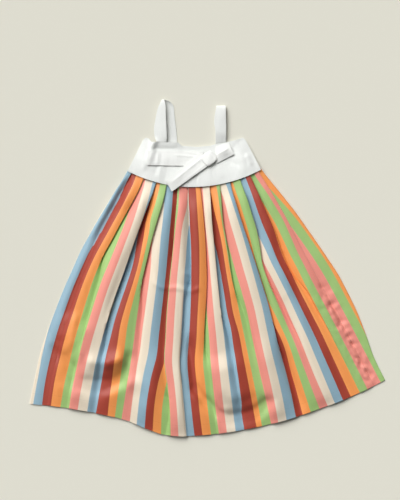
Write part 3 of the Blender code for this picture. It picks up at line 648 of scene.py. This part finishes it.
def waistHeights():
    # Height of the bodice's middle along the waist, over the highest pleats below it
    angles, heights = [], []
    for drop in (0, 24):
        radius, line = frontSection(drop)
        angles += [math.degrees(place / radius) for place, height, stripe in line]
        heights += [height + 0.5 for place, height, stripe in line]
    angles, heights = np.array(angles), np.array(heights)
    marks = np.arange(-26.0, 34.01, 0.25)
    near = [heights[np.abs(angles - mark) < 2.4].max(initial=6.0) for mark in marks]
    near = np.convolve(np.pad(near, 4, mode="edge"), np.ones(9) / 9.0, mode="valid")
    return marks, near + skirt["seamGap"] + bodice["wall"] / 2


waistMarks, waistLine = waistHeights()


def bodiceTop(part):
    places = [point[0] for point in bodice["top"]]
    where = places[0] + (places[-1] - places[0]) * part
    return where, np.interp(where, places, [point[1] for point in bodice["top"]])


def bodiceRidge(part, down, rise, at, width, fades):
    return rise * np.exp(-((part - at) / width) ** 2) * (1.0 - smooth((down - fades) / 0.5))


def bodiceHeight(part, down):
    # Height of the middle of the bodice front
    side = np.minimum(part, 1.0 - part)
    angle = bodice["angles"][0] + (bodice["angles"][1] - bodice["angles"][0]) * part
    upper = 3.2 + 1.2 * smooth(side / 0.2)
    ridge = bodiceRidge(part, down, *bodice["leftRidge"])
    rightRidge = bodiceRidge(part, down, *bodice["rightRidge"])
    lip = 2.6 * np.exp(-(down / 0.13) ** 2) * smooth((part - 0.05) / 0.06) * smooth((0.40 - part) / 0.10)
    hollow = -1.6 * np.exp(-((part - 0.80) / 0.05) ** 2) * np.sin(np.pi * np.clip(down, 0.0, 1.0))
    waist = np.interp(angle, waistMarks, waistLine)
    return upper + (waist - upper) * smooth(down) ** 0.9 + ridge + rightRidge + hollow + lip


def bodicePlace(part, down, waistSpare=0.0):
    # Layout x and y at shares of the width and of the depth
    angle = bodice["angles"][0] + (bodice["angles"][1] - bodice["angles"][0]) * part
    turn = np.radians(angle)
    radius = pairsValue(angle, skirt["waistAt"]) + waistSpare
    topX, topY = bodiceTop(part)
    lowX = skirt["fanX"] + radius * np.sin(turn)
    lowY = skirt["fanY"] - radius * np.cos(turn)
    return topX + (lowX - topX) * down, topY + (lowY - topY) * down


def bodiceWrinkle(x, y, part, down):
    height = creaseSum(x, y, bodiceCreases, layoutPlace)
    height = height + 0.35 * varyFlat(x / 17.0, y / 26.0, 11.0) + 0.12 * varyFlat(x / 5.0, y / 9.0, 12.0)
    return height * smooth(down / 0.12) * smooth((1.0 - down) / 0.1)


def bodiceShare(x, y):
    # Shares across and down the bodice at its places
    low, high = np.zeros_like(x), np.ones_like(x)
    for step in range(24):
        part = (low + high) / 2
        topX, topY = bodiceTop(part)
        lowX, lowY = bodicePlace(part, 1.0)
        down = (topY - y) / (topY - lowY)
        outside = topX + (lowX - topX) * down < x
        low, high = np.where(outside, part, low), np.where(outside, high, part)
    return part, np.clip(down, 0.0, 1.0)


def onBodice(x, y, layer):
    # Height of a sash piece that lies on the bodice, in its layer above it
    highest = np.full_like(x, -1.0)
    for sideways in (-4.0, 0.0, 4.0):
        for along in (-3.0, 3.0):
            part, down = bodiceShare(x + sideways, y + along)
            highest = np.maximum(highest, bodiceHeight(part, down))
    lowest = highest + bodice["wall"] / 2 + sash["wall"] / 2 + skirt["seamGap"]
    return lowest + layer * (sash["wall"] + skirt["seamGap"])


def centred(x, y, z):
    return np.stack([x - skirt["shiftX"], y - skirt["shiftY"], z], axis=-1)


def makeBodice():
    parts = np.linspace(0.0, 1.0, bodice["columns"])[None, :]
    downs = np.linspace(0.0, 1.0, bodice["rows"])[:, None]
    x, y = bodicePlace(parts, downs)
    part, down = np.broadcast_arrays(parts, downs)
    height = bodiceHeight(part, down) + bodiceWrinkle(x, y, part, down)
    clothMap = np.stack([part * bodice["width"], down * bodice["depth"]], axis=-1)
    front = shellObject("bodiceFront", centred(x, y, height), clothMap, bodice["thickness"])
    x, y = bodicePlace(parts, downs, -skirt["seamTuck"] - skirt["seamGap"])
    back = shellObject("bodiceBack", centred(x, y, np.full_like(x, bodice["wall"] / 2)), clothMap,
                       bodice["backThickness"])
    return front, back


# Shoulder straps: rows of a ribbon (left x, right x, y, height of its left edge, of its right edge)
straps = {
    "thickness": 1.2, "width": 23.0, "rowsPerStep": 7, "columns": 15, "crown": 0.5,
    "left": ((-101, -81, 253, 5.5, 7.5), (-104.5, -80.5, 264, 5.5, 9.2),
             (-105.5, -81, 280, 5.5, 9.8), (-102.5, -82, 300, 6, 9.8),
             (-98.5, -82.5, 318, 7, 9.6), (-93.5, -83.5, 330, 7.5, 8.8),
             (-89.5, -84.5, 336.8, 6.2, 6.4), (-88, -74, 333.5, 3.4, 3.2),
             (-86.5, -67, 324, 0.75, 0.75), (-85, -64.5, 300, 0.75, 0.75),
             (-84, -61, 272, 0.75, 0.75), (-83, -60, 253, 0.75, 0.75)),
    "right": ((17, 38, 253.6, 5.5, 6), (17.5, 38, 270, 7.8, 8),
              (14.5, 38, 290, 8, 8.4), (15.5, 37.5, 306, 8, 8.4),
              (18, 37.5, 319, 7, 7.2), (19, 37.5, 325, 4.4, 4.4),
              (19, 37.5, 321, 1.4, 1.4), (18, 38, 312, 0.75, 0.75),
              (17, 38.5, 284, 0.75, 0.75), (17, 39, 253.6, 0.75, 0.75)),
}


def strapSeat(x, front):
    # Height and place of a strap's end, just above the bodice's upper edge
    places = [point[0] for point in bodice["top"]]
    part = (x - places[0]) / (places[-1] - places[0])
    seat = bodiceTop(part)[1] + 2 * skirt["seamGap"]
    return seat, bodiceHeight(part, 0.0) if front else bodice["wall"] / 2


def makeStrap(name, rows):
    grid = []
    for index, (left, right, y, leftHeight, rightHeight) in enumerate(rows):
        line = []
        for share in np.linspace(0.0, 1.0, straps["columns"]):
            x, place = left + (right - left) * share, y
            height = leftHeight + (rightHeight - leftHeight) * share
            if index in (0, len(rows) - 1):
                place, height = strapSeat(x, index == 0)
            line.append((x, place, height, share * straps["width"]))
        grid.append(line)
    fine = curveThrough(grid, straps["rowsPerStep"])
    x, y, height = fine[..., 0], fine[..., 1], fine[..., 2]
    rounded = np.sin(np.pi * np.linspace(0.0, 1.0, straps["columns"]))[None, :] ** 0.6
    above = smooth((height - 3.0) / 3.0)        # the lower leg lies flat on the table
    crown = straps["crown"] * rounded * above
    crown = crown + 0.3 * varyFlat(x / 9.0, y / 21.0, 21.0) * above
    steps = np.hypot(np.diff(fine[:, 7, 1]), np.diff(fine[:, 7, 2]))
    along = np.concatenate([[0.0], np.cumsum(steps)])[:, None]
    clothMap = np.stack([fine[..., 3], np.broadcast_to(along, x.shape)], axis=-1)
    height = np.maximum(height + crown, straps["thickness"] / 2 + 0.02)
    return shellObject(name, centred(x, y, height), clothMap, straps["thickness"])


# Sash pieces, each by its corners: upper left, upper right, lower left, lower right
sash = {
    "wall": 1.2, "thickness": 1.0,
    "band": ((-118, 235), (-8, 234), (-119, 206), (-8, 204)),
    "tail": ((-82, 175), (-12, 233.5), (-70, 153), (5, 207)),
    "loop": ((17, 243.5), (43.6, 252), (19.5, 210), (54, 228)),
    "knotMiddle": (4.0, 219.5), "knotHalf": (13.5, 12.5), "knotTurn": 38.0, "knotRise": 2.2,
    "knotLayer": 3.1,
}

bandCreases = (
    (-97, 233, -99, 208, 4, 1.3),
    (-90, 233, -91, 209, 4, -0.5),
    (-12, 222, -60, 226, 2, 0.8),
    (-10, 214, -50, 212, 2.2, -0.7),
    (-10, 228, -38, 231, 1.6, 0.6),
)
tailCreases = (
    (-8, 222, -62, 178, 2.4, 0.9),
    (-4, 214, -50, 176, 2.4, -0.8),
    (-2, 208, -34, 182, 2, 0.6),
)
loopCreases = (
    (18, 226, 40, 238, 2.4, 1),
    (18, 216, 40, 226, 2.4, -0.8),
    (46, 248, 52, 228, 2, 0.7),
)


def makeSashPiece(name, corners, columns, rows, layer, swell, creases, flat):
    (ulx, uly), (urx, ury), (llx, lly), (lrx, lry) = corners
    part = np.linspace(0.0, 1.0, columns)[None, :]
    down = np.linspace(0.0, 1.0, rows)[:, None]
    x = (ulx + (urx - ulx) * part) * (1 - down) + (llx + (lrx - llx) * part) * down
    y = (uly + (ury - uly) * part) * (1 - down) + (lly + (lry - lly) * part) * down
    part, down = np.broadcast_arrays(part, down)
    height = onBodice(x, y, layer) + swell * np.sin(np.pi * down) * np.sin(np.pi * part) ** 0.5
    inside = np.sin(np.pi * down) ** 0.5
    detail = creaseSum(x, y, creases, layoutPlace) + 0.3 * varyFlat(x / 11.0, y / 11.0, 31.0)
    height = height + np.maximum(detail * inside, -0.25)
    clothMap = np.stack([part * flat[0] * 1000.0, down * flat[1] * 1000.0], axis=-1)
    return shellObject(name, centred(x, y, height), clothMap, sash["thickness"])


def makeKnot():
    down, side = np.meshgrid(np.linspace(-1.0, 1.0, 41), np.linspace(-1.0, 1.0, 41), indexing="ij")
    # A flat wrap turned to lie along the tail
    turn = math.radians(sash["knotTurn"])
    across = sash["knotHalf"][0] * side * np.sqrt(1.0 - 0.38 * down * down)
    upward = -sash["knotHalf"][1] * down * np.sqrt(1.0 - 0.2 * side * side)
    x = sash["knotMiddle"][0] + across * math.cos(turn) - upward * math.sin(turn)
    y = sash["knotMiddle"][1] + across * math.sin(turn) + upward * math.cos(turn)
    dome = np.sqrt((1.0 - side ** 4) * (1.0 - down ** 4))
    height = onBodice(x, y, sash["knotLayer"]) + sash["knotRise"] * dome
    height = height + 0.35 * np.cos(side * 2.6 + down * 3.4) * dome
    clothMap = np.stack([(side + 1.0) * 13.0, (down + 1.0) * 15.0], axis=-1)
    return shellObject("sashKnot", centred(x, y, height), clothMap, sash["thickness"])


print("skirt")
skirtFront = shellObject("skirtFront", *skirtGrid(frontSection, True), skirt["clothThickness"])
skirtBack = shellObject("skirtBack", *skirtGrid(backSection, False), skirt["clothThickness"])
print("bodice")
bodiceFront, bodiceBack = makeBodice()
print("straps")
strapLeft = makeStrap("strapLeft", straps["left"])
strapRight = makeStrap("strapRight", straps["right"])
print("sash")
sashBand = makeSashPiece("sashBand", sash["band"], 90, 26, 0.3, 0.8, bandCreases, (0.110, 0.029))
sashLoop = makeSashPiece("sashLoop", sash["loop"], 40, 34, 0.3, 3.6, loopCreases, (0.036, 0.033))
sashTail = makeSashPiece("sashTail", sash["tail"], 80, 26, 1.8, 1.0, tailCreases, (0.094, 0.027))
sashKnot = makeKnot()


def linear(red, green, blue):
    # Screen colour from 0 to 255 as linear light
    def one(value):
        value = value / 255.0
        return value / 12.92 if value <= 0.04045 else ((value + 0.055) / 1.055) ** 2.4
    return (one(red), one(green), one(blue), 1.0)


stripeColours = (
    linear(230, 216, 194), linear(143, 174, 190), linear(163, 66, 50),
    linear(242, 154, 84), linear(157, 192, 118), linear(233, 146, 132),
)


def startGroup(name, inputs, outputs):
    # Empty node group with its own inputs and outputs
    group = bpy.data.node_groups.new(name, "ShaderNodeTree")
    for title, kind, value in inputs:
        made = group.interface.new_socket(name=title, in_out="INPUT", socket_type=kind)
        if value is not None:
            made.default_value = value
    for title, kind in outputs:
        group.interface.new_socket(name=title, in_out="OUTPUT", socket_type=kind)
    entry = group.nodes.new("NodeGroupInput")
    result = group.nodes.new("NodeGroupOutput")
    return group, entry, result


def mathNode(tree, operation, first, second=None):
    node = tree.nodes.new("ShaderNodeMath")
    node.operation = operation
    for index, value in enumerate((first, second)):
        if value is None:
            continue
        if isinstance(value, (int, float)):
            node.inputs[index].default_value = value
        else:
            tree.links.new(value, node.inputs[index])
    return node.outputs[0]


def times(tree, first, second):
    return mathNode(tree, "MULTIPLY", first, second)


def minus(tree, first, second):
    return mathNode(tree, "SUBTRACT", first, second)


def plus(tree, first, second):
    return mathNode(tree, "ADD", first, second)


def scaled(tree, vector, x, y):
    node = tree.nodes.new("ShaderNodeVectorMath")
    node.operation = "MULTIPLY"
    tree.links.new(vector, node.inputs[0])
    node.inputs[1].default_value = (x, y, 1.0)
    return node.outputs[0]


def noise(tree, vector, scale, detail=2.0):
    node = tree.nodes.new("ShaderNodeTexNoise")
    node.inputs["Scale"].default_value = scale
    node.inputs["Detail"].default_value = detail
    tree.links.new(vector, node.inputs["Vector"])
    return node.outputs["Fac"]


def makeWeaveGroup():
    # Threads of the cloth from its own map in millimetres, as a height, and their uneven tone
    group, entry, result = startGroup(
        "clothWeave",
        (("Cloth", "NodeSocketVector", None), ("Thread", "NodeSocketFloat", 0.35),
         ("Slub", "NodeSocketFloat", 0.5)),
        (("Height", "NodeSocketFloat"), ("Tone", "NodeSocketFloat")))
    split = group.nodes.new("ShaderNodeSeparateXYZ")
    group.links.new(entry.outputs["Cloth"], split.inputs[0])
    turns = mathNode(group, "DIVIDE", 3.14159, entry.outputs["Thread"])
    warp = mathNode(group, "SINE", times(group, split.outputs["X"], turns))
    weft = mathNode(group, "SINE", times(group, split.outputs["Y"], turns))
    crossed = times(group, warp, weft)
    warpTone = noise(group, scaled(group, entry.outputs["Cloth"], 1.6, 0.03), 1.0)
    weftTone = noise(group, scaled(group, entry.outputs["Cloth"], 0.04, 2.0), 1.0)
    both = plus(group, warpTone, weftTone)
    tone = times(group, minus(group, both, 1.0), entry.outputs["Slub"])
    height = plus(group, crossed, times(group, tone, 2.0))
    group.links.new(height, result.inputs["Height"])
    group.links.new(plus(group, tone, 1.0), result.inputs["Tone"])
    return group


stitchLook = {"halfWidth": 0.32, "threadShare": 0.72, "pitch": 2.6, "hemPitch": 7.0, "seamPitch": 2.8}


def makeStitchGroup():
    # Row of machine stitches: a place along it in millimetres, and the distance from its line
    group, entry, result = startGroup(
        "stitchRow",
        (("Along", "NodeSocketFloat", 0.0), ("Off", "NodeSocketFloat", 0.0),
         ("Pitch", "NodeSocketFloat", stitchLook["pitch"])),
        (("Mask", "NodeSocketFloat"),))
    near = mathNode(group, "LESS_THAN", mathNode(group, "ABSOLUTE", entry.outputs["Off"]),
                    stitchLook["halfWidth"])
    step = mathNode(group, "FRACT", mathNode(group, "DIVIDE", entry.outputs["Along"], entry.outputs["Pitch"]))
    mask = times(group, near, mathNode(group, "LESS_THAN", step, stitchLook["threadShare"]))
    group.links.new(mask, result.inputs["Mask"])
    return group


weaveGroup = makeWeaveGroup()
stitchGroup = makeStitchGroup()


def groupNode(tree, group, **values):
    node = tree.nodes.new("ShaderNodeGroup")
    node.node_tree = group
    for name, value in values.items():
        if isinstance(value, (int, float)):
            node.inputs[name].default_value = value
        else:
            tree.links.new(value, node.inputs[name])
    return node


def startMaterial(name):
    material = bpy.data.materials.new(name)
    material.use_nodes = True
    tree = material.node_tree
    return material, tree, tree.nodes["Principled BSDF"]


def clothCoords(tree):
    node = tree.nodes.new("ShaderNodeUVMap")
    node.uv_map = "cloth"
    return node.outputs[0]


def setSurface(shader, roughness, specular, sheen):
    shader.inputs["Roughness"].default_value = roughness
    shader.inputs["Specular IOR Level"].default_value = specular
    shader.inputs["Sheen Weight"].default_value = sheen


def toned(tree, colour, tone):
    # Colour made lighter or darker by a value about 1
    node = tree.nodes.new("ShaderNodeVectorMath")
    node.operation = "SCALE"
    tree.links.new(colour, node.inputs[0])
    tree.links.new(tone, node.inputs["Scale"])
    return node.outputs[0]


def bumped(tree, height, strength, distance):
    node = tree.nodes.new("ShaderNodeBump")
    node.inputs["Strength"].default_value = strength
    node.inputs["Distance"].default_value = distance * mm
    tree.links.new(height, node.inputs["Height"])
    return node.outputs[0]


silkLook = {"roughness": 0.48, "specular": 0.35, "sheen": 0.05, "thread": 0.42, "slub": 0.10,
            "hemAt": 478.0, "seamAt": 41.6}


def makeSilk():
    material, tree, shader = startMaterial("stripedSilk")
    coords = clothCoords(tree)
    split = tree.nodes.new("ShaderNodeSeparateXYZ")
    tree.links.new(coords, split.inputs[0])
    ramp = tree.nodes.new("ShaderNodeValToRGB")
    ramp.color_ramp.interpolation = "CONSTANT"
    for index, colour in enumerate(stripeColours):
        if index < 2:
            stop = ramp.color_ramp.elements[index]
        else:
            stop = ramp.color_ramp.elements.new(index / 6.0)
        stop.position = index / 6.0
        stop.color = colour
    cycle = mathNode(tree, "FRACT", mathNode(tree, "DIVIDE", split.outputs["X"], 6.0))
    tree.links.new(cycle, ramp.inputs[0])
    threads = scaled(tree, coords, skirt["stripe"], skirt["stripe"])
    weave = groupNode(tree, weaveGroup, Cloth=threads, Thread=silkLook["thread"], Slub=silkLook["slub"])
    along = times(tree, split.outputs["Y"], skirt["stripe"])
    hem = groupNode(tree, stitchGroup, Along=times(tree, split.outputs["X"], skirt["stripe"]),
                    Off=minus(tree, along, silkLook["hemAt"]), Pitch=stitchLook["hemPitch"])
    seamOff = times(tree, minus(tree, split.outputs["X"], silkLook["seamAt"]),
                       skirt["stripe"])
    seam = groupNode(tree, stitchGroup, Along=along, Off=seamOff, Pitch=stitchLook["seamPitch"])
    stitches = mathNode(tree, "MAXIMUM", hem.outputs[0], seam.outputs[0])
    tone = minus(tree, weave.outputs["Tone"], times(tree, stitches, 0.12))
    tree.links.new(toned(tree, ramp.outputs[0], tone), shader.inputs["Base Color"])
    height = minus(tree, weave.outputs["Height"], times(tree, stitches, 2.0))
    tree.links.new(bumped(tree, height, 0.25, 0.05), shader.inputs["Normal"])
    setSurface(shader, silkLook["roughness"], silkLook["specular"], silkLook["sheen"])
    return material


cottonLook = {"specular": 0.25, "sheen": 0.08, "thread": 0.5, "slub": 0.10}


def makeCotton(name, colour, depth, width, roughness):
    # White cotton with a row of stitches near each edge of a piece of this depth and width
    material, tree, shader = startMaterial(name)
    coords = clothCoords(tree)
    split = tree.nodes.new("ShaderNodeSeparateXYZ")
    tree.links.new(coords, split.inputs[0])
    weave = groupNode(tree, weaveGroup, Cloth=coords, Thread=cottonLook["thread"], Slub=cottonLook["slub"])
    rows = []
    for along, off, size, inset in (("X", "Y", depth, 2.5), ("Y", "X", width, 2.0)):
        for at in (inset, size - inset) if size else ():
            place = minus(tree, split.outputs[off], at)
            rows.append(groupNode(tree, stitchGroup, Along=split.outputs[along], Off=place).outputs[0])
    stitches = rows[0]
    for row in rows[1:]:
        stitches = mathNode(tree, "MAXIMUM", stitches, row)
    white = tree.nodes.new("ShaderNodeRGB")
    white.outputs[0].default_value = colour
    tone = minus(tree, weave.outputs["Tone"], times(tree, stitches, 0.06))
    tree.links.new(toned(tree, white.outputs[0], tone), shader.inputs["Base Color"])
    height = minus(tree, weave.outputs["Height"], times(tree, stitches, 2.5))
    tree.links.new(bumped(tree, height, 0.3, 0.06), shader.inputs["Normal"])
    setSurface(shader, roughness, cottonLook["specular"], cottonLook["sheen"])
    return material


print("materials")
silk = makeSilk()
cottonColour = linear(228, 230, 226)
bodiceCotton = makeCotton("whiteCottonBodice", cottonColour, bodice["depth"], 0.0, 0.75)
strapCotton = makeCotton("whiteCottonStrap", cottonColour, 0.0, straps["width"], 0.75)
sashCotton = makeCotton("whiteSash", linear(231, 232, 228), 28.0, 0.0, 0.6)

finishes = (
    (skirtFront, "skirt_front", silk, "striped_silk"),
    (skirtBack, "skirt_back", silk, "striped_silk"),
    (bodiceFront, "bodice_front", bodiceCotton, "white_cotton"),
    (bodiceBack, "bodice_back", bodiceCotton, "white_cotton"),
    (strapLeft, "strap_left", strapCotton, "white_cotton"),
    (strapRight, "strap_right", strapCotton, "white_cotton"),
    (sashBand, "sash_band", sashCotton, "white_sash"),
    (sashLoop, "sash_loop", sashCotton, "white_sash"),
    (sashTail, "sash_tail", sashCotton, "white_sash"),
    (sashKnot, "sash_knot", sashCotton, "white_sash"),
)
for piece, node, material, slotName in finishes:
    piece.data.materials.clear()
    piece.data.materials.append(material)
    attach(piece, "root")
    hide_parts(node)

# Floor, light and camera
view = {"centre": (-0.0147, 0.0357), "distance": 2.78, "lens": 100.0, "sensor": 36.0,
        "floor": linear(222, 220, 207), "sky": 0.06, "glow": 6.25, "lobe": 10.0,
        "window": (-0.40, 0.62, 0.68), "sun": 1.10, "sunAngle": 38.0}

bpy.ops.object.select_all(action="DESELECT")
bpy.ops.mesh.primitive_plane_add(size=6.0, location=(0.0, 0.0, 0.0))
floor = bpy.context.object
floor.name = "floor"
floorMaterial, floorTree, floorShader = startMaterial("paleFloor")
floorShader.inputs["Base Color"].default_value = view["floor"]
setSurface(floorShader, 1.0, 0.0, 0.0)
floor.data.materials.append(floorMaterial)

# A pale room that is brighter towards its large window
world = bpy.data.worlds.new("paleRoom")
bpy.context.scene.world = world
world.use_nodes = True
room = world.node_tree
background = room.nodes["Background"]
background.inputs[0].default_value = (1.0, 1.0, 1.0, 1.0)
direction = room.nodes.new("ShaderNodeTexCoord")
facing = room.nodes.new("ShaderNodeVectorMath")
facing.operation = "DOT_PRODUCT"
room.links.new(direction.outputs["Generated"], facing.inputs[0])
facing.inputs[1].default_value = Vector(view["window"]).normalized()
lobe = mathNode(room, "POWER", mathNode(room, "MAXIMUM", facing.outputs["Value"], 0.0), view["lobe"])
glow = plus(room, times(room, lobe, view["glow"]), view["sky"])
room.links.new(glow, background.inputs[1])

sunData = bpy.data.lights.new("window", "SUN")
sunData.energy = view["sun"]
sunData.angle = math.radians(view["sunAngle"])
sunLight = bpy.data.objects.new("window", sunData)
bpy.context.scene.collection.objects.link(sunLight)
sunLight.rotation_euler = Vector(view["window"]).to_track_quat("Z", "Y").to_euler()

cameraData = bpy.data.cameras.new("camera")
cameraData.lens = view["lens"]
cameraData.sensor_fit = "VERTICAL"
cameraData.sensor_height = view["sensor"]
cameraData.sensor_width = view["sensor"]
camera = bpy.data.objects.new("camera", cameraData)
bpy.context.scene.collection.objects.link(camera)
camera.location = (*view["centre"], view["distance"])
bpy.context.scene.camera = camera

bpy.context.scene.view_settings.view_transform = "Standard"
bpy.context.scene.view_settings.look = "None"
